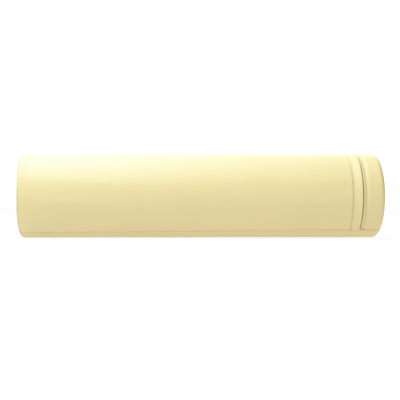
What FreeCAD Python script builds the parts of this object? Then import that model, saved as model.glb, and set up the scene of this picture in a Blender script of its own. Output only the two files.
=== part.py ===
"""A massage bolster: a round foam roll with a narrow flat base, in a zipped two-panel cover.

The roll's axis lies along X and the base stands on z = 0, with the origin under the roll's middle.
The front is -Y. The cover is a top panel and a base panel that meet at a seam on each side, low
down, and an end panel at each end. Near the right end a zip runs over the top from seam to seam,
in a slot between a folded lap and the hem of the end band. Under the cover lie a liner, a wrap of
polyester fibre and the foam core. The slider runs round the roll and the pull swings on it.
"""
import FreeCAD, Part
import os

import Sketcher

DIMENSIONS = [
    # name, size in millimetres or degrees, what it is
    ("roll_length", 660, "whole length over the end panels"),
    ("roll_diameter", 159, "outside diameter of the cover"),
    ("flat_drop", 2, "how much of the full circle the flat base leaves out"),
    ("edge_radius", 7, "outside rounding between the round wall and an end"),
    ("cover_wall", 1, "cover material, one layer"),
    ("seam_angle", 34.5, "degrees from straight down to a base seam"),
    ("end_seam_inset", 3.2, "from an end's outermost face to that end's seam"),
    ("seam_allowance", 9, "width turned in behind a seam"),
    ("liner_wall", 0.4, "knitted liner"),
    ("wrap_wall", 3, "fibre wrap"),
    ("pinched_wrap", 0.8, "fibre wrap where the zip presses it into the foam"),
    ("layer_gap", 0.2, "play between one layer and the next"),
    ("liner_seam_inset", 12, "from an end of the liner or wrap to the joint of its disc"),
    ("thread_diameter", 0.8, "sewing thread as it lies in a seam"),
    ("zip_from_end", 41.4, "middle of the zip to the right end"),
    ("slot_width", 2, "gap between the lap's fold and the band's fold"),
    ("lap_width", 17.5, "lap, from its stitching to its fold"),
    ("lap_rise", 1.2, "how far the lap's fold stands above the cover"),
    ("lap_stitch_inset", 1.5, "lap's stitching from its sewn edge"),
    ("hem_width", 8, "width of the band's folded hem"),
    ("band_stitch_inset", 5, "band's stitching from its fold"),
    ("tape_wall", 0.5, "zip tape"),
    ("tape_slope", 2, "width over which a tape climbs from the chain to the cover"),
    ("coil_reach", 2.8, "outer side of a row of teeth, from the zip's middle"),
    ("coil_spine", 1.3, "width of the strip that carries a row's teeth"),
    ("coil_height", 2.2, "teeth across the tape"),
    ("post_room", 0.8, "tips of the teeth from the zip's middle, where the slider's post runs"),
    ("tooth_pitch", 3, "one tooth to the next"),
    ("tooth_width", 1.3, "a tooth along the zip"),
    ("zip_margin", 7.5, "from a base seam to the stop at that end of the zip"),
    ("stop_length", 2.6, "a stop along the zip"),
    ("stop_reach", 3.6, "outer side of a stop, from the zip's middle"),
    ("stop_height", 3.2, "a stop across the tape"),
    ("slider_length", 11, "slider along the zip"),
    ("slider_width", 9.4, "slider across the zip"),
    ("slider_height", 4.4, "slider over both plates, without its bridge"),
    ("slider_plate", 0.85, "one plate of the slider"),
    ("slider_flange", 1.5, "width of the flanges that close the slider's sides"),
    ("tape_play", 0.35, "between the tape and a flange"),
    ("slider_clearance", 0.4, "slider to the lap, band, liner and stops"),
    ("post_length", 4, "slider's post along the zip"),
    ("post_width", 1, "slider's post across the zip"),
    ("bridge_width", 1.2, "slider's bridge across the zip"),
    ("bridge_length", 7, "slider's bridge along the zip"),
    ("bridge_bar", 1.1, "thickness of the bridge's legs"),
    ("bridge_top", 0.9, "thickness of the bridge's top"),
    ("pin_play", 0.5, "between the pull's pin and the bridge over it"),
    ("pin_thickness", 1.2, "pull's pin, and the pull's own thickness"),
    ("pull_length", 17, "pull, from its pin to its tip"),
    ("pull_side", 1.2, "pull's side arm beside the bridge"),
    ("pull_play", 0.3, "between the bridge and the pull's side arm"),
    ("pull_hole", 2, "hole near the pull's tip"),
]

doc = FreeCAD.newDocument("bolster")
dims = doc.addObject("Spreadsheet::Sheet", "dims")
for row, (name, size, meaning) in enumerate(DIMENSIONS, start=1):
    dims.set(f"A{row}", name)
    dims.set(f"B{row}", str(size))
    dims.set(f"C{row}", meaning)
    dims.setAlias(f"B{row}", name)
doc.recompute()

# Places and sizes that several pieces share, as expressions on the sheet. Heights are from the axis.
RADIUS = "dims.roll_diameter / 2"
AXIS_HEIGHT = f"{RADIUS} - dims.flat_drop"
HALF_LENGTH = "dims.roll_length / 2"
RIGHT_SEAM = f"{HALF_LENGTH} - dims.end_seam_inset"
LEFT_SEAM = f"-({RIGHT_SEAM})"
ZIP_X = f"{HALF_LENGTH} - dims.zip_from_end"
LAP_FOLD = f"{ZIP_X} - dims.slot_width / 2"
LAP_SEWN = f"{LAP_FOLD} - dims.lap_width"
BAND_FOLD = f"{ZIP_X} + dims.slot_width / 2"

COVER_IN = "dims.cover_wall"
HEM_IN = "2 * dims.cover_wall"
LINER_OUT = f"{HEM_IN} + dims.tape_wall + dims.layer_gap"
LINER_IN = f"{LINER_OUT} + dims.liner_wall"
WRAP_OUT = f"{LINER_IN} + dims.layer_gap"
WRAP_IN = f"{WRAP_OUT} + dims.wrap_wall"
CORE_OUT = f"{WRAP_IN} + dims.layer_gap"

HEM_RADIUS = f"{RADIUS} - {HEM_IN}"
CHAIN_RADIUS = f"{HEM_RADIUS} - dims.slider_clearance - dims.slider_height / 2"
LINER_DENT = f"{CHAIN_RADIUS} - dims.slider_height / 2 - dims.slider_clearance"
LINER_DENT_IN = f"{LINER_DENT} - dims.liner_wall"
WRAP_DENT = f"{LINER_DENT_IN} - dims.layer_gap"
WRAP_DENT_IN = f"{WRAP_DENT} - dims.pinched_wrap"
CORE_DENT = f"{WRAP_DENT_IN} - dims.layer_gap"
TAPE_FLAT = "dims.slider_width / 2 + dims.slider_clearance"
TAPE_HIGH = f"{TAPE_FLAT} + dims.tape_slope"

TOP_ANGLE = "360 - 2 * dims.seam_angle"
BASE_ANGLE = "2 * dims.seam_angle"


def value(expression):
    """What an expression on the sheet comes to, in millimetres or degrees."""
    found = dims.evalExpression(expression)
    return float(getattr(found, "Value", found))


def arc_degrees(length, radius=CHAIN_RADIUS):
    """The expression for the angle that a length along the zip takes up."""
    return f"({length}) / ({radius}) * 180 / pi"


SLIDER_ANGLE = arc_degrees("dims.slider_length")
STOP_ANGLE = arc_degrees("dims.stop_length")
MARGIN_ANGLE = arc_degrees("dims.zip_margin")
PLAY_ANGLE = arc_degrees("dims.slider_clearance")
CHAIN_ANGLE = f"{TOP_ANGLE} - 2 * ({MARGIN_ANGLE}) - 2 * ({STOP_ANGLE})"
PARKED = f"dims.seam_angle + {MARGIN_ANGLE} + {STOP_ANGLE} + {PLAY_ANGLE} + {SLIDER_ANGLE} / 2"


def origin_plane(body, role):
    """One of a body's own origin planes."""
    return [feature for feature in body.Origin.OriginFeatures if feature.Role == role][0]


def new_body(name, along="0", across="0", up=AXIS_HEIGHT):
    """A body whose own X axis is the roll's axis, unless it is told another place."""
    body = doc.addObject("PartDesign::Body", name)
    body.setExpression("Placement.Base.x", along)
    body.setExpression("Placement.Base.y", across)
    body.setExpression("Placement.Base.z", up)
    return body


def turn(body, towards, angle):
    """Turns a body about the roll's axis from upright: towards the rear (-1) or the front (+1)."""
    body.Placement.Rotation = FreeCAD.Rotation(FreeCAD.Vector(towards, 0, 0), value(angle))
    body.setExpression("Placement.Rotation.Angle", angle)


def new_sketch(body, name, role):
    """An empty sketch on one of the body's origin planes."""
    sketch = body.newObject("Sketcher::SketchObject", name)
    sketch.AttachmentSupport = [(origin_plane(body, role), "")]
    sketch.MapMode = "FlatFace"
    return sketch


def bind(sketch, constraint, expression):
    """Adds a constraint that takes its size from the sheet."""
    index = sketch.addConstraint(constraint)
    sketch.setExpression(f"Constraints[{index}]", expression)


def outline(body, name, corners, role="XZ_Plane"):
    """A closed sketch of straight lines. Each corner is a pair of expressions."""
    sketch = new_sketch(body, name, role)
    places = [(value(across), value(up)) for across, up in corners]
    count = len(places)
    for here in range(count):
        start, end = places[here], places[(here + 1) % count]
        sketch.addGeometry(
            Part.LineSegment(FreeCAD.Vector(*start, 0), FreeCAD.Vector(*end, 0)), False
        )
    for here, (across, up) in enumerate(corners):
        sketch.addConstraint(Sketcher.Constraint("Coincident", here, 2, (here + 1) % count, 1))
        x, y = places[here]
        bind(sketch, Sketcher.Constraint("DistanceX", -1, 1, here, 1, x), across)
        bind(sketch, Sketcher.Constraint("DistanceY", -1, 1, here, 1, y), up)
    return sketch


def box_corners(left, right, low, high):
    """The corners of a rectangle, from four expressions."""
    return [(left, low), (right, low), (right, high), (left, high)]


def disc(body, name, across, up, radius, role="XZ_Plane"):
    """A sketch of one circle."""
    sketch = new_sketch(body, name, role)
    centre = FreeCAD.Vector(value(across), value(up), 0)
    ring = sketch.addGeometry(
        Part.Circle(centre, FreeCAD.Vector(0, 0, 1), value(radius)), False
    )
    bind(sketch, Sketcher.Constraint("Radius", ring, value(radius)), radius)
    bind(sketch, Sketcher.Constraint("DistanceX", -1, 1, ring, 3, centre.x), across)
    bind(sketch, Sketcher.Constraint("DistanceY", -1, 1, ring, 3, centre.y), up)
    return sketch


def spin(body, sketch, angle, kind="Revolution"):
    """Revolves a sketch about the roll's axis, half the angle to each side of upright."""
    feature = body.newObject(f"PartDesign::{kind}", f"{sketch.Name}_{kind.lower()}")
    feature.Profile = sketch
    feature.ReferenceAxis = (sketch, ["H_Axis"])
    feature.Midplane = True
    feature.setExpression("Angle", angle)
    doc.recompute()
    return feature


def pad(body, sketch, length, kind="Pad"):
    """Pads or pockets a sketch by half the length to each side."""
    feature = body.newObject(f"PartDesign::{kind}", f"{sketch.Name}_{kind.lower()}")
    feature.Profile = sketch
    feature.Midplane = True
    feature.setExpression("Length", length)
    doc.recompute()
    return feature


def round_edges(body, feature, wanted, radius):
    """Fillets the edges of a feature that pass a test."""
    names = [
        f"Edge{index}" for index, edge in enumerate(feature.Shape.Edges, start=1) if wanted(edge)
    ]
    rounded = body.newObject("PartDesign::Fillet", f"{body.Name}_rounding")
    rounded.Base = (feature, names)
    rounded.setExpression("Radius", radius)
    doc.recompute()
    return rounded


def roll_form(name, inset, dent=None, dent_growth="0"):
    """A solid roll with rounded ends and a flat base, inset all over from the cover's outside.

    With a dent, a channel down to that radius runs round under the zip."""
    body = new_body(name)
    end, radius = f"{HALF_LENGTH} - ({inset})", f"{RADIUS} - ({inset})"
    blank = spin(
        body, outline(body, f"{name}_section", box_corners(f"-({end})", end, "0", radius)), "360"
    )
    round_edges(
        body, blank, lambda edge: edge.BoundBox.XLength < 1e-6, f"dims.edge_radius - ({inset})"
    )
    below = box_corners(f"-({RADIUS})", RADIUS, f"-2 * {RADIUS}", f"({inset}) - ({AXIS_HEIGHT})")
    pad(body, outline(body, f"{name}_flat", below, "YZ_Plane"), "2 * dims.roll_length", "Pocket")
    if dent:
        reach = f"{TAPE_HIGH} + dims.slider_clearance + ({dent_growth})"
        corners = box_corners(f"{ZIP_X} - ({reach})", f"{ZIP_X} + {reach}", dent, RADIUS)
        spin(body, outline(body, f"{name}_dent", corners), TOP_ANGLE, "Groove")
    return body


def sector(name, left, right, angle, below=False):
    """A thick ring sector that cuts a piece out of a layer: over the top, or round the base."""
    body = new_body(name)
    low, high = f"({RADIUS}) / 2", f"{RADIUS} + 10"
    if below:
        low, high = f"-({high})", f"-({low})"
    spin(body, outline(body, f"{name}_section", box_corners(left, right, low, high)), angle)
    return body


def slab(name, left, right):
    """A block across the whole roll between two places along it."""
    block = doc.addObject("Part::Box", name)
    side = "2 * dims.roll_diameter"
    block.setExpression("Length", f"{right} - ({left})")
    block.setExpression("Width", side)
    block.setExpression("Height", side)
    block.setExpression("Placement.Base.x", left)
    block.setExpression("Placement.Base.y", f"-({side}) / 2")
    block.setExpression("Placement.Base.z", f"-({side}) / 4")
    return block


def cut(name, base, *tools):
    """What is left of one shape when the others are taken away."""
    for count, tool in enumerate(tools, start=1):
        left = doc.addObject("Part::Cut", name if count == len(tools) else f"{name}_less_{count}")
        left.Base, left.Tool = base, tool
        base = left
    return base


def common(name, base, tool):
    """What two shapes share."""
    shared = doc.addObject("Part::Common", name)
    shared.Base, shared.Tool = base, tool
    return shared


def fuse(name, *shapes):
    """Several shapes as one solid."""
    joined = doc.addObject("Part::MultiFuse", name)
    joined.Shapes = list(shapes)
    joined.Refine = True
    return joined


def label(piece, name):
    """Marks an object as a sub-part: its label names its file."""
    piece.Label = name
    SUB_PARTS.append(piece)
    return piece


SUB_PARTS = []

# Layers of the cover and the filling, each a form with the next one taken out of it.
cover_form = roll_form("cover_form", "0")
cover_inside = roll_form("cover_inside", COVER_IN)
hem_inside = roll_form("hem_inside", HEM_IN)
liner_form = roll_form("liner_form", LINER_OUT, LINER_DENT)
liner_inside = roll_form("liner_inside", LINER_IN, LINER_DENT_IN, "dims.liner_wall")
wrap_growth = "dims.liner_wall + dims.layer_gap"
wrap_form = roll_form("wrap_form", WRAP_OUT, WRAP_DENT, wrap_growth)
core_growth = f"{wrap_growth} + dims.pinched_wrap"
wrap_inside = roll_form("wrap_inside", WRAP_IN, WRAP_DENT_IN, core_growth)
foam_core = roll_form("core", CORE_OUT, CORE_DENT, f"{core_growth} + dims.layer_gap")
label(foam_core, "foam_core")

cover_layer = cut("cover_layer", cover_form, cover_inside)
hem_layer = cut("hem_layer", cover_inside, hem_inside)
liner_layer = cut("liner_layer", liner_form, liner_inside)
wrap_layer = cut("wrap_layer", wrap_form, wrap_inside)


def bag(layer, tube_name, end_name, inset):
    """Splits a closed layer into a tube and two end discs."""
    reach = f"{HALF_LENGTH} - ({inset}) - dims.liner_seam_inset"
    label(common(f"{tube_name}_piece", layer, slab(f"{tube_name}_room", f"-({reach})", reach)),
          tube_name)
    for side, left, right in (
        ("left", f"-({HALF_LENGTH})", f"-({reach})"),
        ("right", reach, HALF_LENGTH),
    ):
        room = slab(f"{end_name}_{side}_room", left, right)
        label(common(f"{end_name}_{side}_piece", layer, room), f"{end_name}_{side}")


bag(liner_layer, "liner_tube", "liner_end", LINER_OUT)
bag(wrap_layer, "fibre_wrap", "fibre_end", WRAP_OUT)


# Threads. Each lies half sunk in the cover, and the pieces it crosses have its groove.
def base_seam_thread(name, side):
    """The thread along a base seam, on the straight part of the roll."""
    rod = doc.addObject("Part::Cylinder", name)
    rod.setExpression("Radius", "dims.thread_diameter / 2")
    rod.setExpression("Height", "dims.roll_length - 2 * dims.edge_radius")
    rod.Placement.Rotation = FreeCAD.Rotation(FreeCAD.Vector(0, 1, 0), 90)
    rod.setExpression("Placement.Base.x", f"dims.edge_radius - {HALF_LENGTH}")
    rod.setExpression("Placement.Base.y", f"{side} * {RADIUS} * sin(dims.seam_angle)")
    rod.setExpression(
        "Placement.Base.z", f"{AXIS_HEIGHT} - {RADIUS} * cos(dims.seam_angle)"
    )
    return rod


def ring_thread(name, place, radius):
    """A row of stitching round the roll, from one base seam to the other."""
    body = new_body(name)
    section = disc(body, f"{name}_section", place, radius, "dims.thread_diameter / 2")
    spin(body, section, f"{TOP_ANGLE} - 2 * {arc_degrees('dims.thread_diameter')}")
    return body


thread_form = roll_form("thread_form", "dims.thread_diameter / 2")
thread_layer = cut("thread_layer", cover_form, thread_form)


def end_seam_thread(name, left):
    """The thread round an end seam, flush with the cover."""
    right = f"{left} + dims.thread_diameter"
    return common(name, thread_layer, slab(f"{name}_room", left, right))


front_thread = label(base_seam_thread("front_thread", -1), "seam_thread_front")
rear_thread = label(base_seam_thread("rear_thread", 1), "seam_thread_rear")
lap_thread = label(
    ring_thread("lap_thread", f"{LAP_SEWN} + dims.lap_stitch_inset", RADIUS), "lap_stitching"
)
band_thread = label(
    ring_thread("band_thread", f"{BAND_FOLD} + dims.band_stitch_inset", RADIUS), "band_stitching"
)
left_thread = label(
    end_seam_thread("left_thread", f"{LEFT_SEAM} - dims.thread_diameter / 2"),
    "end_seam_thread_left",
)
right_thread = label(
    end_seam_thread("right_thread", f"{RIGHT_SEAM} - dims.thread_diameter / 2"),
    "end_seam_thread_right",
)

# Cover panels. Each is one layer of the cover, with its seam allowances turned in under it.
ALLOWANCE_ANGLE = arc_degrees("dims.seam_allowance", RADIUS)
LEFT_ALLOWANCE = f"{LEFT_SEAM} + dims.seam_allowance"
RIGHT_ALLOWANCE = f"{RIGHT_SEAM} - dims.seam_allowance"


def turned_in(name, left, right, angle, below):
    """The strips turned in along both base seams of a panel."""
    whole = sector(f"{name}_room", left, right, angle, below)
    middle = sector(f"{name}_middle", left, right, f"{angle} - 2 * {ALLOWANCE_ANGLE}", below)
    return cut(name, common(f"{name}_ring", hem_layer, whole), middle)


top_room = sector("top_room", LEFT_SEAM, LAP_SEWN, TOP_ANGLE)
top_sheet = common("top_sheet", cover_layer, top_room)
top_strips = turned_in("top_strips", LEFT_ALLOWANCE, LAP_SEWN, TOP_ANGLE, False)
top_blank = fuse("top_blank", top_sheet, top_strips)
label(cut("top_piece", top_blank, front_thread, rear_thread, left_thread), "top_panel")

base_room = sector("base_room", LEFT_SEAM, RIGHT_SEAM, BASE_ANGLE, True)
base_sheet = common("base_sheet", cover_layer, base_room)
base_strips = turned_in("base_strips", LEFT_ALLOWANCE, RIGHT_ALLOWANCE, BASE_ANGLE, True)
base_blank = fuse("base_blank", base_sheet, base_strips)
label(
    cut("base_piece", base_blank, front_thread, rear_thread, left_thread, right_thread),
    "base_panel",
)

band_room = sector("band_room", BAND_FOLD, RIGHT_SEAM, TOP_ANGLE)
band_sheet = common("band_sheet", cover_layer, band_room)
hem_room = sector("hem_room", BAND_FOLD, f"{BAND_FOLD} + dims.hem_width", TOP_ANGLE)
band_blank = fuse("band_blank", band_sheet, common("band_hem", hem_layer, hem_room))
label(
    cut("band_piece", band_blank, front_thread, rear_thread, band_thread, right_thread),
    "end_band",
)


def end_panel(side, outer_left, outer_right, flange_left, flange_right, thread):
    """An end panel with the flange that is turned in behind its seam."""
    face = common(f"{side}_face", cover_layer, slab(f"{side}_face_room", outer_left, outer_right))
    flange_room = slab(f"{side}_flange_room", flange_left, flange_right)
    blank = fuse(f"{side}_blank", face, common(f"{side}_flange", hem_layer, flange_room))
    label(cut(f"{side}_end", blank, thread), f"end_panel_{side}")


FLANGE_ROOT = f"({HEM_IN} + dims.end_seam_inset) / 2"
end_panel("left", f"-({HALF_LENGTH})", LEFT_SEAM, f"{FLANGE_ROOT} - {HALF_LENGTH}",
          LEFT_ALLOWANCE, left_thread)
end_panel("right", RIGHT_SEAM, HALF_LENGTH, RIGHT_ALLOWANCE,
          f"{HALF_LENGTH} - {FLANGE_ROOT}", right_thread)

# The lap: a folded strip sewn to the top panel's edge, which rises towards its fold.
lap_body = new_body("lap")
LAP_MIDDLE = f"{LAP_SEWN} + dims.lap_width / 2"
lap_blank = spin(
    lap_body,
    outline(
        lap_body,
        "lap_section",
        [
            (LAP_SEWN, HEM_RADIUS),
            (LAP_MIDDLE, HEM_RADIUS),
            (LAP_FOLD, f"{HEM_RADIUS} + dims.lap_rise"),
            (LAP_FOLD, f"{RADIUS} + dims.lap_rise"),
            (LAP_MIDDLE, f"{RADIUS} + dims.lap_rise / 2"),
            (LAP_SEWN, RADIUS),
        ],
    ),
    TOP_ANGLE,
)
fold_x = value(LAP_FOLD)
round_edges(
    lap_body,
    lap_blank,
    lambda edge: edge.BoundBox.XMin > fold_x - 1e-6 and edge.BoundBox.ZMax > value(HEM_RADIUS),
    "dims.cover_wall * 0.9",
)
label(cut("lap_piece", lap_body, front_thread, rear_thread, lap_thread), "zip_lap")


# The zip: two tapes, two rows of teeth and three stops. Places across it are from its middle.
LAP_REACH = "dims.slot_width / 2 + dims.lap_width"
CHAIN_TOP = f"{CHAIN_RADIUS} + dims.coil_height / 2"
CHAIN_BOTTOM = f"{CHAIN_RADIUS} - dims.coil_height / 2"


def mirrored(side, corners):
    """Corners on the cover's side (-1) or the end's side (+1) of the zip's middle."""
    return [(f"({side}) * ({across})", up) for across, up in corners]


def zip_body(name):
    """A body whose origin is the zip's middle on the roll's axis."""
    return new_body(name, ZIP_X)


def zip_tape(name, side):
    """A tape that runs level with the teeth, then climbs to the underside of the cover."""
    body = zip_body(name)
    outside, inside = HEM_RADIUS, f"{HEM_RADIUS} - dims.tape_wall"
    high, low = f"{CHAIN_RADIUS} + dims.tape_wall / 2", f"{CHAIN_RADIUS} - dims.tape_wall / 2"
    corners = [
        ("dims.coil_reach", low),
        (TAPE_FLAT, low),
        (TAPE_HIGH, inside),
        (LAP_REACH, inside),
        (LAP_REACH, outside),
        (TAPE_HIGH, outside),
        (TAPE_FLAT, high),
        ("dims.coil_reach", high),
    ]
    spin(body, outline(body, f"{name}_section", mirrored(side, corners)), TOP_ANGLE)
    return body


def pattern(body, name, tooth, reverse):
    """Repeats a tooth along its row, one way from the top of the roll."""
    row = body.newObject("PartDesign::PolarPattern", name)
    row.Originals = [tooth]
    axis = [feature for feature in body.Origin.OriginFeatures if feature.Role == "X_Axis"][0]
    row.Axis = (axis, [""])
    row.Reversed = reverse
    pitch = arc_degrees("dims.tooth_pitch")
    steps = f"floor(({CHAIN_ANGLE}) / 2 / ({pitch}) - 0.5)"
    row.setExpression("Occurrences", f"{steps} + 1")
    row.setExpression("Angle", f"{steps} * {pitch}")
    body.Tip = row
    doc.recompute()


def zip_teeth(name, side):
    """A row of teeth on its spine, from stop to stop."""
    body = zip_body(name)
    root = "dims.coil_reach - dims.coil_spine"
    spine = mirrored(side, box_corners(root, "dims.coil_reach", CHAIN_BOTTOM, CHAIN_TOP))
    spin(body, outline(body, f"{name}_spine", spine), CHAIN_ANGLE)
    tooth = mirrored(side, box_corners("dims.post_room", root, CHAIN_BOTTOM, CHAIN_TOP))
    first = spin(body, outline(body, f"{name}_tooth", tooth), arc_degrees("dims.tooth_width"))
    pattern(body, f"{name}_rearward", first, False)
    pattern(body, f"{name}_forward", first, True)
    return body


def zip_stop(name, left, right, towards):
    """A metal stop on the teeth at one end of the zip."""
    body = zip_body(name)
    low = f"{CHAIN_RADIUS} - dims.stop_height / 2"
    high = f"{CHAIN_RADIUS} + dims.stop_height / 2"
    spin(body, outline(body, f"{name}_section", box_corners(left, right, low, high)), STOP_ANGLE)
    turn(body, towards, f"180 - dims.seam_angle - {MARGIN_ANGLE} - {STOP_ANGLE} / 2")
    return body


cover_tape = label(zip_tape("cover_tape", -1), "zip_tape_cover_side")
end_tape = label(zip_tape("end_tape", 1), "zip_tape_end_side")
label(zip_teeth("cover_teeth", -1), "zip_teeth_cover_side")
label(zip_teeth("end_teeth", 1), "zip_teeth_end_side")

STOP_GAP = "dims.post_room"
closed_left = zip_stop("closed_left", "-dims.stop_reach", f"-({STOP_GAP})", -1)
closed_right = zip_stop("closed_right", STOP_GAP, "dims.stop_reach", -1)
closed_pair = doc.addObject("Part::Compound", "closed_pair")
closed_pair.Links = [
    cut("closed_left_stop", closed_left, cover_tape),
    cut("closed_right_stop", closed_right, end_tape),
]
label(closed_pair, "zip_stops_closed_end")
open_blank = zip_stop("open_blank", "-dims.stop_reach", "dims.stop_reach", 1)
label(cut("open_stop", open_blank, cover_tape, end_tape), "zip_stop_open_end")

# The slider: two plates with flanges, joined by a post, and a bridge that reaches up through the
# slot and holds the pull's pin just clear of the lap.
PLATE_TOP = f"{CHAIN_RADIUS} + dims.slider_height / 2"
slider = zip_body("slider")


def plate_section(side):
    """A plate with its two flanges, on the outer (+1) or inner (-1) side of the teeth."""
    outside = f"{CHAIN_RADIUS} + ({side}) * dims.slider_height / 2"
    inside = f"{outside} - ({side}) * dims.slider_plate"
    lip = f"{CHAIN_RADIUS} + ({side}) * (dims.tape_wall / 2 + dims.tape_play)"
    edge = "dims.slider_width / 2"
    step = f"{edge} - dims.slider_flange"
    return [
        (f"-({edge})", lip),
        (f"-({edge})", outside),
        (edge, outside),
        (edge, lip),
        (step, lip),
        (step, inside),
        (f"-({step})", inside),
        (f"-({step})", lip),
    ]


spin(slider, outline(slider, "slider_outer", plate_section(1)), SLIDER_ANGLE)
post_low = f"{CHAIN_RADIUS} - dims.slider_height / 2 + dims.slider_plate / 2"
post_high = f"{PLATE_TOP} - dims.slider_plate / 2"
post = box_corners("-dims.post_width / 2", "dims.post_width / 2", post_low, post_high)
spin(slider, outline(slider, "slider_post", post), arc_degrees("dims.post_length"))
spin(slider, outline(slider, "slider_inner", plate_section(-1)), SLIDER_ANGLE)
BRIDGE_END = "dims.bridge_length / 2"
BRIDGE_INNER = f"{BRIDGE_END} - dims.bridge_bar"
BRIDGE_FOOT = f"{PLATE_TOP} - dims.slider_plate / 2"
PIN_RADIUS = f"({RADIUS} + dims.lap_rise + dims.slider_clearance + dims.pin_thickness / 2)"
BRIDGE_UNDER = f"{PIN_RADIUS} + dims.pin_thickness / 2 + dims.pin_play"
BRIDGE_HIGH = f"{BRIDGE_UNDER} + dims.bridge_top"
bridge_corners = [
    (f"-({BRIDGE_END})", BRIDGE_FOOT),
    (f"-({BRIDGE_END})", BRIDGE_UNDER),
    (f"-({BRIDGE_INNER})", BRIDGE_HIGH),
    (BRIDGE_INNER, BRIDGE_HIGH),
    (BRIDGE_END, BRIDGE_UNDER),
    (BRIDGE_END, BRIDGE_FOOT),
    (BRIDGE_INNER, BRIDGE_FOOT),
    (BRIDGE_INNER, BRIDGE_UNDER),
    (f"-({BRIDGE_INNER})", BRIDGE_UNDER),
    (f"-({BRIDGE_INNER})", BRIDGE_FOOT),
]
bridge = outline(slider, "slider_bridge", bridge_corners, "YZ_Plane")
pad(slider, bridge, "dims.bridge_width")
turn(slider, -1, f"180 - ({PARKED})")
label(slider, "zip_slider")

# The pull hangs straight down from the bridge. Its own origin is the middle of its pin.
pull = new_body(
    "pull",
    ZIP_X,
    f"{PIN_RADIUS} * sin({PARKED})",
    f"{AXIS_HEIGHT} - {PIN_RADIUS} * cos({PARKED})",
)
WINDOW_HALF = "dims.bridge_width / 2 + dims.pull_play"
PULL_HALF = f"{WINDOW_HALF} + dims.pull_side"
BRIDGE_RISE = f"{BRIDGE_HIGH} - {PIN_RADIUS}"
WINDOW_END = f"sqrt(({BRIDGE_END})^2 + ({BRIDGE_RISE})^2) + dims.slider_clearance"
plate = box_corners(f"-({PULL_HALF})", PULL_HALF, "-dims.pull_length", "0")
pull_plate = pad(pull, outline(pull, "pull_plate", plate), "dims.pin_thickness")
round_edges(
    pull,
    pull_plate,
    lambda edge: edge.BoundBox.ZLength < 1e-6
    and edge.BoundBox.XLength < 1e-6
    and edge.BoundBox.ZMax < -1,
    f"0.9 * ({PULL_HALF})",
)
window = box_corners(
    f"-({WINDOW_HALF})", WINDOW_HALF, f"-({WINDOW_END})", "-dims.pin_thickness / 2"
)
pad(pull, outline(pull, "pull_window", window), "2 * dims.pin_thickness", "Pocket")
hole = disc(pull, "pull_hole", "0", f"{PULL_HALF} - dims.pull_length", "dims.pull_hole / 2")
pad(pull, hole, "2 * dims.pin_thickness", "Pocket")
pin = disc(pull, "pull_pin", "0", "0", "dims.pin_thickness / 2", "YZ_Plane")
pad(pull, pin, f"2 * ({PULL_HALF})")
label(pull, "zip_pull")

doc.recompute()
for thing in doc.Objects:
    if "Invalid" in thing.State or "Error" in thing.State:
        raise RuntimeError(f"{thing.Name} did not compute: {thing.State}")
for piece in SUB_PARTS:
    if piece.Shape.isNull() or not piece.Shape.isValid():
        raise RuntimeError(f"{piece.Label} has no sound shape")
os.makedirs("parts", exist_ok=True)
for piece in SUB_PARTS:
    piece.Shape.exportStep(f"parts/{piece.Label}.step")
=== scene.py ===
"""The looks of a massage bolster in a zipped leatherette cover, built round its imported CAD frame.

The roll lies along X and the front is -Y. Angles round it are counted from straight down, towards
the front. A place on the cover is a length along the roll's outline, from the middle of its
length over the rounded edge to the middle of an end, and an angle.
"""
import math

import bpy
import numpy as np
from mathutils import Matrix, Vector, noise


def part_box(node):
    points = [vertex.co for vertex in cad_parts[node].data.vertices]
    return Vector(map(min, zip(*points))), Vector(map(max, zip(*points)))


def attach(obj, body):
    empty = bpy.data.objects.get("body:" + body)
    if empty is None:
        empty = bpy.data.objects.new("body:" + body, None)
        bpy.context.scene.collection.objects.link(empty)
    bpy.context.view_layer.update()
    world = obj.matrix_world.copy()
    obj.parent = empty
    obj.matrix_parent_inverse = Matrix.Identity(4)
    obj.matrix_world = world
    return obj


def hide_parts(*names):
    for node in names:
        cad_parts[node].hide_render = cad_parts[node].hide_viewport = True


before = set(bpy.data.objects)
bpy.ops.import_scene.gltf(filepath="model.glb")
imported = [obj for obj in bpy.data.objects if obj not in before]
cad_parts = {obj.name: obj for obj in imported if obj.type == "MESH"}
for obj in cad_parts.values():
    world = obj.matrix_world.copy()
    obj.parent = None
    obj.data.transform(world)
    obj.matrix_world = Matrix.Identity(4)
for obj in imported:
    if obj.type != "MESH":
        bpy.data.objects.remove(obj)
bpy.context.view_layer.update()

# Sizes of the frame, in metres.
TOP_LOW, TOP_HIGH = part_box("top_panel")
BAND_LOW, BAND_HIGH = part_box("end_band")
LAP_LOW, LAP_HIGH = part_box("zip_lap")
RADIUS = TOP_HIGH.y
AXIS = TOP_HIGH.z - RADIUS
HALF_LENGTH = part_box("end_panel_right")[1].x
LAP_SEWN, LAP_FOLD, BAND_FOLD = LAP_LOW.x, LAP_HIGH.x, BAND_LOW.x
ZIP = (LAP_FOLD + BAND_FOLD) / 2
LAP_STITCHES = sum((corner.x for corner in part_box("lap_stitching")), 0.0) / 2
BAND_STITCHES = sum((corner.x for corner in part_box("band_stitching")), 0.0) / 2
SEAM_ANGLE = math.acos((AXIS - TOP_LOW.z) / RADIUS)
END_SEAM = BAND_HIGH.x
LAP_RISE = LAP_HIGH.y - RADIUS

MM = 0.001
LEFT, RIGHT = -1, 1
ROUNDING = {LEFT: 4.5 * MM, RIGHT: 10.5 * MM}  # the edge between the round wall and an end
TURN = 2 * math.pi

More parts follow.
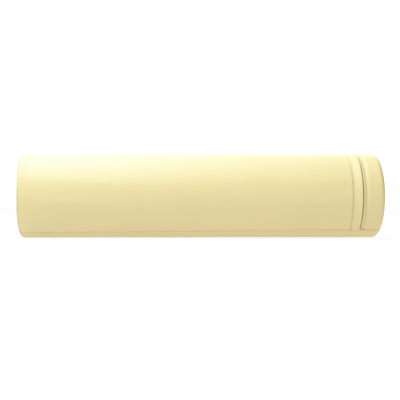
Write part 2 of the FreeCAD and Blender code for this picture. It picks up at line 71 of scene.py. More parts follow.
SEAM_DEPTH = 1.4 * MM  # how far a seam pulls the cover in
SEAM_REACH = 1.0 * MM  # over what distance
TUCK = 1.2 * MM  # how far a panel's edge goes on inwards, out of sight
SEAM_PULL = 1.15  # how much harder a base seam pulls in than an end seam
BAND_SEAM_PULL = 1.4  # the same on the end band
THREAD_PROUD = 0.25 * MM  # how far a seam's thread lies above the bottom of the seam
CROWN = 2.5 * MM  # how far an end swells at its middle
FACE_RADIUS = RADIUS - 11 * MM  # the part of an end that swells
FLOOR_GAP = 0.05 * MM  # height of the cover's underside where it rests
FOLD_OVER = 0.25 * MM  # how far the soft folds lean over the zip's slot
LAP_THICKNESS, HEM_THICKNESS = 2.2 * MM, 2 * MM  # the folds' two layers
HEM_UNDER = 8 * MM  # how far a fold's under layer goes back
WALL_ARC, BASE_ARC = 0.4, 0.09  # lengths round the roll of the top panel and the base panel
FINE, COARSE = 0.35 * MM, 3 * MM  # mesh steps next to a seam, and far from one
PIN_REACH = 2.6 * MM  # how close to a seam the simulated cover is held
KNEE, WHITE = 0.6, 1.5  # brightness where highlights start to roll off, and that shows as white


def smooth(value, start, end):
    """0 before start, 1 after end and a smooth step between them."""
    share = np.clip((value - start) / (end - start), 0, 1)
    return share * share * (3 - 2 * share)


def waves(places, scale, seed):
    """Smooth noise from -1 to 1 at points in metres. scale is the size of one wave."""
    shift = Vector((seed * 7.3, seed * 3.1, seed * 5.7))
    return np.array([noise.noise(Vector(place) / scale + shift) for place in places])


# The roll's shape.
def outline(run):
    """Along X, out from the axis, and the outward direction, at a length along the outline."""
    side = np.sign(run)
    rounding = np.where(run < 0, ROUNDING[LEFT], ROUNDING[RIGHT])
    straight = HALF_LENGTH - rounding
    past = np.clip(np.abs(run) - straight, 0, None)
    turn = np.clip(past / rounding, 0, math.pi / 2)
    inwards = np.clip(past - rounding * math.pi / 2, 0, None)
    along = np.minimum(np.abs(run), straight) + rounding * np.sin(turn)
    out = RADIUS - rounding + rounding * np.cos(turn) - inwards
    return side * along, out, side * np.sin(turn), np.cos(turn)


def seam_run(side):
    """Length along the outline to an end's seam."""
    rounding = ROUNDING[side]
    straight = HALF_LENGTH - rounding
    return side * (straight + rounding * math.asin((END_SEAM - straight) / rounding))


def middle_run(side):
    """Length along the outline to the middle of an end."""
    return side * (HALF_LENGTH - 2 * ROUNDING[side] + ROUNDING[side] * math.pi / 2 + RADIUS)


LEFT_SEAM, RIGHT_SEAM = seam_run(LEFT), seam_run(RIGHT)

# How far the stuffing pushes the cover out at each of these lengths and angles, at most
# SWELL_MOST. It is 0 until simulated_swell has measured it over SWELL_FRAMES frames.
SWELL_MOST = 0.5 * MM
SWELL_FRAMES = 20
SWELL_RUNS = np.linspace(middle_run(LEFT) + 12 * MM, middle_run(RIGHT) - 12 * MM, 170)
SWELL_ANGLES = np.linspace(0, TURN, 104, endpoint=False)
SWELL = np.zeros((len(SWELL_RUNS), len(SWELL_ANGLES)))


def base_share(angle):
    """How much of its full radius the roll has at an angle, because of its flat base."""
    down = np.clip(np.cos(angle), 0.05, None)
    flat = AXIS / RADIUS / down
    soft = 0.0015
    least = np.minimum(flat, 1)
    spread = np.exp(-np.abs(flat - 1) / soft)
    return np.where(np.cos(angle) > 0.5, least - soft * np.log1p(spread), 1.0)


def twist(x):
    """The cover is sewn on with a slight twist, so the seams climb along it."""
    return math.radians(7.4) * x / (2 * HALF_LENGTH) + math.radians(0.9)


def front_seam(x):
    """Angle of the front base seam."""
    return SEAM_ANGLE + twist(x)


def rear_seam(x):
    """Angle of the rear base seam, counted on from the top of the roll."""
    return TURN - SEAM_ANGLE + twist(x)


def settle(x, y, z):
    """The soft roll's small departures from a true one: its left end bulges outwards at the top
    and the foot, and its underside lifts a little off the floor towards the right end."""
    near_left = smooth(x, -0.285, -0.33)
    foot = 1.8 * MM * near_left * smooth(z, 0.075, 0.008)
    top = 1.9 * MM * near_left * smooth(z, 0.095, 0.135)
    lifted = 0.3 * MM * smooth(x, -0.03, 0.07) + 0.6 * MM * smooth(x, 0.245, 0.335)
    below = smooth(np.arctan2(np.abs(y), AXIS - z), math.radians(34), math.radians(14))
    return x - foot - top, y, z + lifted * below * smooth(z, 0.05, 0.02)


def swollen(run, angle):
    """How far the stuffing pushes the cover out at places on it."""
    row = np.interp(run, SWELL_RUNS, np.arange(len(SWELL_RUNS)))
    column = np.mod(angle, TURN) / TURN * len(SWELL_ANGLES)
    low_row = np.clip(row.astype(int), 0, len(SWELL_RUNS) - 2)
    low_column = column.astype(int) % len(SWELL_ANGLES)
    next_column = (low_column + 1) % len(SWELL_ANGLES)
    past_row, past_column = row - low_row, column - np.floor(column)
    near = SWELL[low_row, low_column] * (1 - past_column) + SWELL[low_row, next_column] * past_column
    far = (
        SWELL[low_row + 1, low_column] * (1 - past_column)
        + SWELL[low_row + 1, next_column] * past_column
    )
    return near * (1 - past_row) + far * past_row


def place(run, raised, angle):
    """Points on the cover, raised that far above its nominal surface."""
    raised = raised + swollen(run, angle)
    along, out, tilt_x, tilt_out = outline(run)
    middle = np.clip(1 - out / FACE_RADIUS, 0, 1)
    crown = CROWN * (1 - (1 - middle) ** 2) * np.sign(run)
    x = along + raised * tilt_x + crown
    far = (out + raised * tilt_out) * base_share(angle)
    x, y, z = settle(x, -far * np.sin(angle), AXIS - far * np.cos(angle))
    return np.stack([x, y, np.maximum(z, FLOOR_GAP)], axis=-1)


# Building meshes.
def unit(vectors):
    """Vectors at length 1, or 0 where they have no direction."""
    return vectors / np.maximum(np.linalg.norm(vectors, axis=-1, keepdims=True), 1e-12)


def steps(start, end, fine, coarse, both=True):
    """Places from start to end, close together near the ends and wide apart between them."""
    length = abs(end - start)
    places, step = [0.0], fine
    limit = length / 2 if both else length
    while places[-1] + step < limit:
        places.append(places[-1] + step)
        step = min(step * 1.35, coarse)
    if both:
        places = places + [length - value for value in reversed(places)]
    else:
        places = places + [length]
    return start + math.copysign(1, end - start) * np.array(places)


def mesh_object(name, points, faces):
    """A smooth-shaded mesh from a list of points and faces."""
    mesh = bpy.data.meshes.new(name)
    mesh.from_pydata([tuple(point) for point in points], [], faces)
    mesh.validate()
    mesh.shade_smooth()
    piece = bpy.data.objects.new(name, mesh)
    bpy.context.scene.collection.objects.link(piece)
    return piece


def grid_faces(rows, columns, closed=False):
    """Quads of a grid of points. closed joins the last column to the first."""
    faces = []
    for row in range(rows - 1):
        for column in range(columns if closed else columns - 1):
            after = (column + 1) % columns
            faces.append(
                (
                    row * columns + column,
                    row * columns + after,
                    (row + 1) * columns + after,
                    (row + 1) * columns + column,
                )
            )
    return faces


def dip(distance):
    """How far a seam pulls the cover in, at a distance from it."""
    return -SEAM_DEPTH * np.exp(-np.maximum(distance, 0) / SEAM_REACH)


def pull(run):
    """How much harder than an end seam a base seam pulls in, which is most on the end band."""
    on_band = smooth(run, LAP_FOLD, BAND_FOLD + 2 * MM)
    return SEAM_PULL + (BAND_SEAM_PULL - SEAM_PULL) * on_band


def puckers(distance, along, seed, size=7.5 * MM, strength=0.16 * MM):
    """Small gathers across a seam, at a distance from it and a length along it."""
    flat = along.ravel()
    wander = waves(np.stack([flat, flat * 0, flat * 0], -1), 0.03, seed).reshape(along.shape)
    ridge = np.sin(TURN * along / size + 5 * wander)
    near = np.exp(-np.maximum(distance, 0) / (5 * MM))
    return strength * ridge * (0.55 + 0.6 * wander) * near


def swell(points, seed, size=0.07, strength=0.35 * MM):
    """Broad soft unevenness of the stuffing under the cover."""
    shape = points.shape[:-1]
    return strength * waves(points.reshape(-1, 3), size, seed).reshape(shape)


def tucked(raised, rows=True, columns=True):
    """Sinks the outermost rows and columns, so that panels meet with no gap."""
    raised = raised.copy()
    if rows:
        raised[0, :] -= TUCK
        raised[-1, :] -= TUCK
    if columns:
        raised[:, 0] -= TUCK
        raised[:, -1] -= TUCK
    return raised


def doubled(values):
    """Repeats the first and last place, for an edge that turns straight in."""
    return np.concatenate([values[:1], values, values[-1:]])


def round_wall(name, runs, rise, coarse=3.2 * MM):
    """A panel that goes over the roll from the front base seam to the rear one. rise gives its
    height above the nominal surface."""
    shares = doubled(steps(0.0, 1.0, FINE / WALL_ARC, coarse / WALL_ARC))
    run = np.repeat(runs[:, None], len(shares), axis=1)
    x = outline(run)[0]
    angle = front_seam(x) + shares[None, :] * (rear_seam(x) - front_seam(x))
    from_seam = np.minimum(angle - front_seam(x), rear_seam(x) - angle) * RADIUS
    points = place(run, rise(run, angle, from_seam), angle)
    return mesh_object(name, points.reshape(-1, 3), grid_faces(*run.shape))


def top_rise(run, angle, from_seam):
    """Relief of the top panel."""
    from_end = run - LEFT_SEAM
    from_lap = LAP_SEWN - run
    base = place(run, 0 * run, angle)
    raised = pull(run) * dip(from_seam) + dip(from_end) + 0.2 * dip(from_lap)
    raised = raised + puckers(from_seam, run, 1) + puckers(from_end, angle * RADIUS, 2)
    raised = raised + swell(base, 3) * smooth(from_seam, 0, 0.02)
    ridge = 1.8 * MM * np.exp(-(((from_end - 6.5 * MM) / (5.5 * MM)) ** 2))
    ridge = ridge * smooth(-np.cos(angle), 0.2, 0.9)
    return tucked(raised + ridge)


def top_panel():
    runs = doubled(steps(LEFT_SEAM, LAP_SEWN, FINE, COARSE))
    return round_wall("cover_top", runs, top_rise)


def lap_profile(from_fold):
    """Height of the lap above the cover, at a distance from its fold."""
    hill = (LAP_RISE + 0.8 * MM) * smooth(from_fold, 13 * MM, 1 * MM)
    fall = -0.2 * MM * (1 - smooth(from_fold, 0, 1.5 * MM))
    sewn = LAP_FOLD - LAP_STITCHES
    valley = -0.55 * MM * np.exp(-(((from_fold - sewn) / (4.5 * MM)) ** 2))
    stitch = -0.15 * MM * np.exp(-(((from_fold - sewn) / (1.1 * MM)) ** 2))
    return hill + fall + valley + stitch


def folded_edge(fold, side, profile, far, thickness):
    """Places along the roll and heights of a hem: over its top, round its fold and back under.
    The first place is doubled and sunk, out of sight."""
    top = steps(far, 0.0, 0.4 * MM, 1.2 * MM)[:-1]
    top = top[top > thickness * 0.5]
    high = profile(thickness * 0.5)
    round_angles = np.linspace(math.pi / 2, -math.pi / 2, 9)
    half = thickness / 2
    bend_x = half - half * np.cos(round_angles)
    bend_z = high - half + half * np.sin(round_angles)
    under = np.linspace(half, HEM_UNDER, 6)
    distance = np.concatenate([top[:1], top, bend_x, under])
    height = np.concatenate([profile(top), bend_z, np.full(len(under), high - thickness)])
    height = np.concatenate([height[:1] - TUCK, height])
    return fold + side * distance, height


def hem_piece(name, runs, heights, seed):
    """A panel over the roll whose section along it is given point by point."""

    def rise(run, angle, from_seam):
        height = np.repeat(heights[:, None], run.shape[1], axis=1)
        gather = puckers(np.zeros_like(run), angle * RADIUS, seed, 6 * MM, 0.06 * MM)
        raised = height + pull(run) * dip(from_seam) + gather
        raised = raised + puckers(from_seam, run, seed + 1)
        return tucked(raised, rows=False)

    return round_wall(name, runs, rise, coarse=2.4 * MM)


def lap():
    far = LAP_FOLD - LAP_SEWN
    runs, heights = folded_edge(LAP_FOLD + FOLD_OVER, -1, lap_profile, far, LAP_THICKNESS)
    heights[:2] += 0.2 * dip(0.0)
    return hem_piece("cover_lap", runs, heights, 5)


def band_profile(from_fold):
    """Height of the end band above the cover, at a distance from its fold. It falls steeply from
    the hem to the stitches and climbs gently beyond them."""
    stitch = BAND_STITCHES - BAND_FOLD
    steep, gentle = 1.5 * MM, 3.5 * MM
    width = np.where(from_fold < stitch, steep, gentle)
    valley = -1.5 * MM * np.exp(-(((from_fold - stitch) / width) ** 2))
    slope = -0.3 * MM * (1 - smooth(from_fold, stitch, stitch + 11 * MM))
    return valley + slope


def band():
    far = RIGHT_SEAM - BAND_FOLD
    runs, heights = folded_edge(BAND_FOLD - FOLD_OVER, 1, band_profile, far, HEM_THICKNESS)
    return hem_piece("cover_band", runs, heights + dip(RIGHT_SEAM - runs), 7)


def base_panel():
    runs = doubled(steps(LEFT_SEAM, RIGHT_SEAM, FINE, COARSE))
    shares = doubled(steps(0.0, 1.0, FINE / BASE_ARC, COARSE / BASE_ARC))
    run = np.repeat(runs[:, None], len(shares), axis=1)
    x = outline(run)[0]
    start, end = rear_seam(x) - TURN, front_seam(x)
    angle = start + shares[None, :] * (end - start)
    from_seam = np.minimum(angle - start, end - angle) * RADIUS
    from_end = np.minimum(run - LEFT_SEAM, RIGHT_SEAM - run)
    raised = pull(run) * dip(from_seam) + dip(from_end)
    raised = raised + puckers(from_seam, run, 1) + puckers(from_end, angle * RADIUS, 2)
    points = place(run, tucked(raised), angle)
    return mesh_object("cover_base", points.reshape(-1, 3), grid_faces(*run.shape))


def end_panel(name, side):
    """An end of the roll: from its seam in the rounded edge to the middle of its face."""
    start, end = abs(seam_run(side)), abs(middle_run(side))
    hub = 0.2 * MM
    runs = steps(start, end - hub, FINE, 4 * MM, both=False)
    runs = np.concatenate([runs[:1], runs])
    count = 300
    angles = np.linspace(0, TURN, count, endpoint=False)
    run = np.repeat(side * runs[:, None], count, axis=1)
    angle = np.repeat(angles[None, :], len(runs), axis=0)
    from_seam = np.abs(run) - start
    base = place(run, 0 * run, angle)
    raised = dip(from_seam) + puckers(from_seam, angle * RADIUS, 2 if side == LEFT else 9)
    raised = raised + swell(base, 4, 0.05, 0.5 * MM) * smooth(from_seam, 0.004, 0.03)
    raised[0, :] -= TUCK
    points = place(run, raised, angle).reshape(-1, 3)
    middle = points[-count:].mean(axis=0)
    faces = grid_faces(len(runs), count, closed=True)
    last = (len(runs) - 1) * count
    tip = len(points)
    for column in range(count):
        faces.append((last + column, last + (column + 1) % count, tip))
    return mesh_object(name, np.vstack([points, middle]), faces)


def pinned_places(run, angle):
    """Where the cover is sewn down, or rests on the floor."""
    x = outline(run)[0]
    pinned = np.abs(angle - front_seam(x)) * RADIUS < PIN_REACH
    pinned |= np.abs(angle - rear_seam(x)) * RADIUS < PIN_REACH
    pinned &= (run > LEFT_SEAM) & (run < RIGHT_SEAM)
    for row in (LEFT_SEAM, LAP_STITCHES, BAND_STITCHES, RIGHT_SEAM):
        pinned |= np.abs(run - row) < PIN_REACH
    pinned |= (base_share(angle) < 0.995) & (np.abs(run) < HALF_LENGTH)
    pinned[0, :] = pinned[-1, :] = True
    return pinned


def simulated_swell():
    """Blows the cover up a little between its seams, as cloth, and measures how far it moves."""
    run, angle = np.meshgrid(SWELL_RUNS, SWELL_ANGLES, indexing="ij")
    start = place(run, 0 * run, angle)
    outwards = unit(place(run, 0 * run + MM, angle) - start)
    sheet = mesh_object("cover_cloth", start.reshape(-1, 3), grid_faces(*run.shape, closed=True))
    pins = sheet.vertex_groups.new(name="pins")
    pins.add(np.flatnonzero(pinned_places(run, angle)).tolist(), 1.0, "REPLACE")
    cloth = sheet.modifiers.new("swell", "CLOTH").settings
    cloth.quality = 6
    cloth.mass = 0.3
    cloth.bending_stiffness = 6.0
    cloth.use_pressure = True
    cloth.uniform_pressure_force = 4.0
    cloth.vertex_group_mass = "pins"
    cloth.effector_weights.gravity = 0.0
    scene = bpy.context.scene
    for moment in range(1, SWELL_FRAMES + 1):
        scene.frame_set(moment)
    moved = sheet.evaluated_get(bpy.context.evaluated_depsgraph_get()).to_mesh()
    end = np.array([vertex.co for vertex in moved.vertices]).reshape(start.shape)
    scene.frame_set(1)
    bpy.data.objects.remove(sheet)
    out = ((end - start) * outwards).sum(axis=-1)
    return SWELL_MOST * np.tanh(out / SWELL_MOST)


# Sewing and the zip's teeth, as tubes along short paths.
def tube(centres, sides, ups, radii, around=8):
    """Rings of points round a path, and the faces between them, with closed ends."""
    turns = np.linspace(0, TURN, around, endpoint=False)
    ring = (
        np.cos(turns)[None, :, None] * sides[:, None, :]
        + np.sin(turns)[None, :, None] * ups[:, None, :]
    )
    points = centres[:, None, :] + radii[:, None, None] * ring
    faces = [tuple(reversed(face)) for face in grid_faces(len(centres), around, closed=True)]
    last = (len(centres) - 1) * around
    faces.append(tuple(range(around)))
    faces.append(tuple(last + index for index in reversed(range(around))))
    return points.reshape(-1, 3), faces


def joined_tubes(name, tubes):
    """One piece out of many tubes."""
    points, faces, start = [], [], 0
    for tube_points, tube_faces in tubes:
        points.append(tube_points)
        faces += [tuple(index + start for index in face) for face in tube_faces]
        start += len(tube_points)
    return mesh_object(name, np.vstack(points), faces)


def stitch_row(name, run, raised, angle):
    """A row of stitches along a path on the cover. Each one dives into the cover at its ends."""
    pitch, thick, sunk = 3.1 * MM, 0.36 * MM, 0.45 * MM
    line = place(run, raised, angle)
    outwards = unit(place(run, raised + MM, angle) - line)
    length = np.concatenate([[0], np.cumsum(np.linalg.norm(np.diff(line, axis=0), axis=1))])
    count = int(length[-1] / pitch)
    span = length[-1] / count
    shares = np.array([0.04, 0.12, 0.3, 0.5, 0.7, 0.88, 0.96])
    bow = np.array([-1.0, -0.25, 0.1, 0.2, 0.1, -0.25, -1.0]) * sunk
    radii = np.array([0.55, 0.9, 1.0, 1.0, 1.0, 0.9, 0.55]) * thick
    tubes = []
    for index in range(count):
        at = (index + shares) * span
        centres = np.stack([np.interp(at, length, line[:, axis]) for axis in range(3)], -1)
        ups = unit(np.stack([np.interp(at, length, outwards[:, axis]) for axis in range(3)], -1))
        ahead = unit(np.gradient(centres, axis=0))
        sides = unit(np.cross(ahead, ups))
        tubes.append(tube(centres + bow[:, None] * ups, sides, ups, radii))
    return joined_tubes(name, tubes)


def level(run, value):
    """An array like run that holds one value."""
    return np.full_like(run, value)


def base_stitches(name, seam, turned=0.0):
    """The stitches of a base seam from end to end of the roll."""
    run = np.linspace(LEFT_SEAM + 1.5 * MM, RIGHT_SEAM - 1.5 * MM, 900)
    angle = seam(outline(run)[0]) - turned
    return stitch_row(name, run, THREAD_PROUD - SEAM_DEPTH * pull(run), angle)


def ring_stitches(name, at, height):
    """Stitches over the roll from one base seam to the other."""
    share = np.linspace(0.004, 0.996, 500)
    x = np.full_like(share, at)
    angle = front_seam(x) + share * (rear_seam(x) - front_seam(x))
    return stitch_row(name, x, level(share, height), angle)


def end_stitches(name, side):
    """The stitches of an end seam, all round."""
    angle = np.linspace(0, TURN, 700)
    run = level(angle, seam_run(side))
    return stitch_row(name, run, level(run, THREAD_PROUD - SEAM_DEPTH), angle)


def zip_teeth():
    """Two rows of nylon teeth that mesh over the middle of the zip, from stop to stop."""
    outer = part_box("zip_teeth_cover_side")[1].y
    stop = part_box("zip_stops_closed_end")[1]
    clear = math.atan2(stop.y, AXIS - stop.z) + 0.02
    pitch = 1.45 * MM / outer
    across = np.array([2.75, 2.5, 1.8, 0.9, -0.1, -0.55, -0.5]) * MM
    depth = np.array([-1.9, -0.9, -0.5, -0.45, -0.5, -0.85, -1.3]) * MM
    radii = np.array([0.36, 0.42, 0.42, 0.42, 0.46, 0.5, 0.34]) * MM
    rows = {-1: [], 1: []}
    for index, angle in enumerate(np.arange(clear, TURN - clear, pitch)):
        side = 1 if index % 2 else -1
        up = np.array([0, -math.sin(angle), -math.cos(angle)])
        along = np.array([0, -math.cos(angle), math.sin(angle)])
        centres = np.array([ZIP, 0, AXIS]) + (outer + depth)[:, None] * up
        centres[:, 0] += side * across
        ahead = unit(np.gradient(centres, axis=0))
        sides = np.repeat(along[None, :], len(centres), axis=0)
        rows[side].append(tube(centres, sides, unit(np.cross(ahead, sides)), radii))
    return (
        joined_tubes("teeth_cover_side", rows[-1]),
        joined_tubes("teeth_end_side", rows[1]),
    )


# Materials.
def new_material(name, **settings):
    """A material with one shader, whose sockets are set by name."""
    material = bpy.data.materials.new(name)
    material.use_nodes = True
    shader = material.node_tree.nodes["Principled BSDF"]
    for socket, value in settings.items():
        shader.inputs[socket.replace("_", " ")].default_value = value
    return material


def add(material, kind, links=None, **settings):
    """A node, with its properties and its inputs set by name, and links into its inputs."""
    node = material.node_tree.nodes.new(kind)
    for name, value in settings.items():
        if hasattr(node, name):
            setattr(node, name, value)
        else:
            node.inputs[name.replace("_", " ")].default_value = value
    for name, socket in (links or {}).items():
        material.node_tree.links.new(socket, node.inputs[name])
    return node


def position(material, stretch=(1, 1, 1)):
    """Places on the piece in metres, stretched."""
    here = add(material, "ShaderNodeTexCoord")
    return add(
        material, "ShaderNodeMapping", {"Vector": here.outputs["Object"]}, Scale=stretch
    ).outputs["Vector"]


def blended(material, share, first, second):
    """A colour between two colours."""
    mix = add(material, "ShaderNodeMix", data_type="RGBA")
    mix.inputs[6].default_value = (*first, 1)
    mix.inputs[7].default_value = (*second, 1)
    material.node_tree.links.new(share, mix.inputs[0])
    return mix.outputs[2]


def over(material, share, under, colour):
    """A colour laid over another by a share."""
    mix = add(material, "ShaderNodeMix", data_type="RGBA")
    mix.inputs[7].default_value = (*colour, 1)
    material.node_tree.links.new(share, mix.inputs[0])
    material.node_tree.links.new(under, mix.inputs[6])
    return mix.outputs[2]


def ranged(material, value, low, high, new_low, new_high):
    """A value moved from one range to another."""
    node = add(material, "ShaderNodeMapRange", {"Value": value})
    for socket, number in zip(node.inputs[1:5], (low, high, new_low, new_high)):
        socket.default_value = number
    return node.outputs[0]


def bump(material, height, distance, strength=1.0, under=None):
    """A bumped surface direction."""
    links = {"Height": height}
    if under is not None:
        links["Normal"] = under
    return add(
        material, "ShaderNodeBump", links, Strength=strength, Distance=distance
    ).outputs["Normal"]


def shade(material, **links):
    """Links sockets into the material's shader."""
    shader = material.node_tree.nodes["Principled BSDF"]
    for name, socket in links.items():
        material.node_tree.links.new(socket, shader.inputs[name.replace("_", " ")])


CREAM = (0.60, 0.503, 0.243)


def leatherette():
    """Smooth pale yellow leatherette: a fine pebbled grain with soft tone changes."""
    material = new_material("leatherette", Roughness=0.5, Specular_IOR_Level=0.5)
    here = position(material)
    broad = add(material, "ShaderNodeTexNoise", {"Vector": here}, Scale=11.0, Detail=4.0)
    mottle = add(material, "ShaderNodeTexNoise", {"Vector": here}, Scale=420.0, Detail=3.0)
    colour = blended(
        material,
        ranged(material, broad.outputs[0], 0.35, 0.65, 0, 1),
        tuple(value * 0.985 for value in CREAM),
        tuple(value * 1.015 for value in CREAM),
    )
    colour = over(
        material, ranged(material, mottle.outputs[0], 0.4, 0.75, 0, 0.12), colour,
        tuple(value * 0.9 for value in CREAM),
    )
    pores = add(material, "ShaderNodeTexVoronoi", {"Vector": here}, Scale=950.0)
    fine = add(material, "ShaderNodeTexNoise", {"Vector": here}, Scale=1900.0, Detail=2.0)
    grain = bump(material, pores.outputs["Distance"], 0.05 * MM, 0.55)
    grain = bump(material, fine.outputs[0], 0.03 * MM, 0.4, grain)
    rough = ranged(material, mottle.outputs[0], 0.3, 0.7, 0.45, 0.55)
    shade(material, Base_Color=colour, Roughness=rough, Normal=grain)
    return material


def sewing_thread():
    material = new_material("sewing_thread", Roughness=0.6, Sheen_Weight=0.2)
    here = position(material)
    strands = add(
        material, "ShaderNodeTexWave", {"Vector": here}, bands_direction="DIAGONAL",
        Scale=520.0, Distortion=1.0,
    )
    colour = blended(material, strands.outputs["Fac"], (0.32, 0.24, 0.09), (0.50, 0.39, 0.17))
    shade(material, Base_Color=colour, Normal=bump(material, strands.outputs["Fac"], 0.1 * MM))
    return material


def woven(name, dark, light, scale=900.0):
    """Plain weave in two close tones."""
    material = new_material(name, Roughness=0.85, Specular_IOR_Level=0.3)
    here = position(material)
    across = add(
        material, "ShaderNodeTexWave", {"Vector": here}, bands_direction="X", Scale=scale / 6.28
    )
    along = add(
        material, "ShaderNodeTexWave", {"Vector": here}, bands_direction="Z", Scale=scale / 6.28
    )
    weave = add(
        material, "ShaderNodeMath",
        {0: across.outputs["Fac"], 1: along.outputs["Fac"]}, operation="MAXIMUM",
    )
    fuzz = add(material, "ShaderNodeTexNoise", {"Vector": here}, Scale=600.0, Detail=3.0)
    colour = over(
        material, ranged(material, fuzz.outputs[0], 0.3, 0.7, 0, 0.3),
        blended(material, weave.outputs[0], dark, light), dark,
    )
    shade(material, Base_Color=colour, Normal=bump(material, weave.outputs[0], 0.15 * MM))
    return material


def spongy(name, dark, light, cells):
    """Foam or fibre: uneven cells and fluff."""
    material = new_material(name, Roughness=0.95)
    here = position(material)
    pores = add(material, "ShaderNodeTexVoronoi", {"Vector": here}, Scale=cells)
    fluff = add(material, "ShaderNodeTexNoise", {"Vector": here}, Scale=cells / 3, Detail=5.0)
    colour = blended(material, ranged(material, fluff.outputs[0], 0.3, 0.7, 0, 1), dark, light)
    shade(
        material, Base_Color=colour, Normal=bump(material, pores.outputs["Distance"], 0.5 * MM)
    )
    return material


def nylon():
    material = new_material("nylon", Roughness=0.38, Specular_IOR_Level=0.5)
    specks = add(
        material, "ShaderNodeTexNoise", {"Vector": position(material)}, Scale=700.0, Detail=2.0
    )
    colour = blended(material, specks.outputs[0], (0.66, 0.57, 0.32), (0.80, 0.71, 0.44))
    shade(material, Base_Color=colour, Normal=bump(material, specks.outputs[0], 0.05 * MM))
    return material


def nickel():
    """Satin nickel with fine brushing and a little handling wear."""
    material = new_material("nickel", Metallic=1.0, Roughness=0.3)
    here = position(material, (1, 1, 0.08))
    brushed = add(material, "ShaderNodeTexNoise", {"Vector": here}, Scale=2500.0, Detail=3.0)
    handled = add(
        material, "ShaderNodeTexNoise", {"Vector": position(material)}, Scale=240.0, Detail=3.0
    )
    colour = blended(material, handled.outputs[0], (0.56, 0.54, 0.50), (0.70, 0.69, 0.66))
    rough = ranged(material, handled.outputs[0], 0.3, 0.7, 0.22, 0.42)
    normal = bump(material, brushed.outputs[0], 0.02 * MM, 0.6)
    shade(material, Base_Color=colour, Roughness=rough, Normal=normal)
    return material


def dress(piece, material, node):
    """Gives a new piece its material and its body, and hides the CAD node that it stands for."""
    piece.data.materials.clear()
    piece.data.materials.append(material)
    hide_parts(node)
    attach(piece, "bolster")


def repaint(material, *nodes):
    """Gives CAD nodes that stay a better material."""
    for name in nodes:
        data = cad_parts[name].data
        data.materials.clear()
        data.materials.append(material)


def make_cover():
    hide = leatherette()
    panels = [
        (top_panel(), "top_panel"),
        (base_panel(), "base_panel"),
        (lap(), "zip_lap"),
        (band(), "end_band"),
        (end_panel("cover_end_left", LEFT), "end_panel_left"),
        (end_panel("cover_end_right", RIGHT), "end_panel_right"),
    ]
    for piece, node in panels:
        dress(piece, hide, node)


def make_sewing():
    thread = sewing_thread()
    lap_height = lap_profile(LAP_FOLD - LAP_STITCHES)
    band_height = band_profile(BAND_STITCHES - BAND_FOLD)
    rows = [
        (base_stitches("stitches_base_front", front_seam), "seam_thread_front"),
        (base_stitches("stitches_base_rear", rear_seam, TURN), "seam_thread_rear"),
        (ring_stitches("stitches_lap", LAP_STITCHES, lap_height), "lap_stitching"),
        (ring_stitches("stitches_band", BAND_STITCHES, band_height), "band_stitching"),
        (end_stitches("stitches_end_left", LEFT), "end_seam_thread_left"),
        (end_stitches("stitches_end_right", RIGHT), "end_seam_thread_right"),
    ]
    for piece, node in rows:
        dress(piece, thread, node)


def make_zip():
    cover_side, end_side = zip_teeth()
    plastic = nylon()
    dress(cover_side, plastic, "zip_teeth_cover_side")
    dress(end_side, plastic, "zip_teeth_end_side")
    tape = woven("zip_tape_weave", (0.56, 0.47, 0.26), (0.76, 0.67, 0.42))
    repaint(tape, "zip_tape_cover_side", "zip_tape_end_side")
    metal = nickel()
    repaint(metal, "zip_slider", "zip_pull", "zip_stops_closed_end", "zip_stop_open_end")


def make_filling():
    repaint(spongy("foam", (0.72, 0.68, 0.54), (0.86, 0.83, 0.70), 900.0), "foam_core")
    fibre = spongy("fibre", (0.78, 0.78, 0.76), (0.92, 0.92, 0.90), 300.0)
    repaint(fibre, "fibre_wrap", "fibre_end_left", "fibre_end_right")
    knit = woven("liner_knit", (0.70, 0.69, 0.65), (0.88, 0.87, 0.84), 1400.0)
    repaint(knit, "liner_tube", "liner_end_left", "liner_end_right")


# The studio.
def soft_light(name, at, size, watts):
    """A large soft light that faces the roll."""
    light = bpy.data.lights.new(name, "AREA")
    light.shape = "RECTANGLE"
    light.size, light.size_y = size
    light.energy = watts
    holder = bpy.data.objects.new(name, light)
    holder.location = at
    holder.rotation_euler = (Vector((0, 0, 0.08)) - Vector(at)).to_track_quat("-Z", "Y").to_euler()
    bpy.context.scene.collection.objects.link(holder)


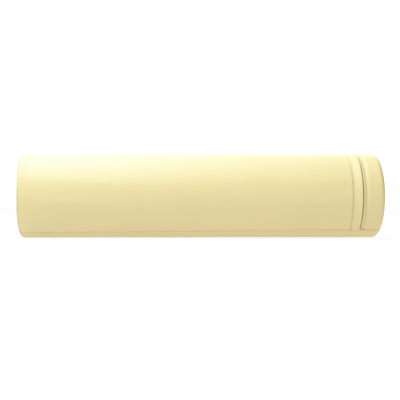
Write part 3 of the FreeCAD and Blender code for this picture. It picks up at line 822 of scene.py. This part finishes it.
def film_shoulder(scene):
    """Highlights roll off softly to white, as on film."""
    view = scene.view_settings
    view.view_transform = "Standard"
    view.use_curve_mapping = True
    curves = view.curve_mapping
    curves.white_level = (WHITE, WHITE, WHITE)
    steepness = (WHITE - KNEE) / (1 - KNEE)
    for share in (0.0, 0.2, 0.4, 0.65):
        light = KNEE + share * (WHITE - KNEE)
        shown = 1 - (1 - KNEE) * (1 - share) ** steepness
        curves.curves[3].points.new(light / WHITE, shown)
    curves.update()


def glowing(name, corners, faces, grey, strength):
    """A white sheet of the studio, lit evenly from behind as well."""
    sheet = mesh_object(name, corners, faces)
    white = new_material(f"{name}_white", Roughness=0.9, Emission_Strength=strength)
    white.node_tree.nodes["Principled BSDF"].inputs["Emission Color"].default_value = (1, 1, 1, 1)
    tone = add(white, "ShaderNodeTexNoise", {"Vector": position(white)}, Scale=3.0)
    light, dark = (grey, grey, grey), (grey * 0.97, grey * 0.97, grey * 0.97)
    shade(white, Base_Color=blended(white, tone.outputs[0], dark, light))
    sheet.data.materials.append(white)


def studio():
    film_shoulder(bpy.context.scene)
    world = bpy.data.worlds.new("studio")
    world.use_nodes = True
    world.node_tree.nodes["Background"].inputs["Color"].default_value = (1, 1, 1, 1)
    world.node_tree.nodes["Background"].inputs["Strength"].default_value = 0.54
    bpy.context.scene.world = world
    soft_light("key", (-0.5, -0.15, 1.45), (1.8, 1.2), 36)
    soft_light("fill", (-0.8, -0.7, 1.3), (1.8, 1.2), 15)
    soft_light("rim", (-0.1, 1.1, 1.2), (2.4, 1.2), 18)
    ground = [(-4, -4, 0), (4, -4, 0), (4, 4, 0), (-4, 4, 0)]
    glowing("floor", ground, [(0, 1, 2, 3)], 0.25, 0.9)
    wall = [(-4, 4, -0.5), (4, 4, -0.5), (4, 4, 3), (-4, 4, 3)]
    glowing("backdrop", wall, [(0, 1, 2, 3)], 0.8, 1.3)


def camera():
    """Level with the roll's axis, square to it and a little left of its middle."""
    lens = bpy.data.cameras.new("camera")
    lens.lens = 68.45
    lens.shift_x = 0.0760
    lens.shift_y = -0.0103
    view = bpy.data.objects.new("camera", lens)
    view.location = (-0.056, -1.43, AXIS)
    view.rotation_euler = (math.pi / 2, 0, 0)
    bpy.context.scene.collection.objects.link(view)
    bpy.context.scene.camera = view


camera()
studio()
SWELL = simulated_swell()
make_cover()
make_sewing()
make_zip()
make_filling()
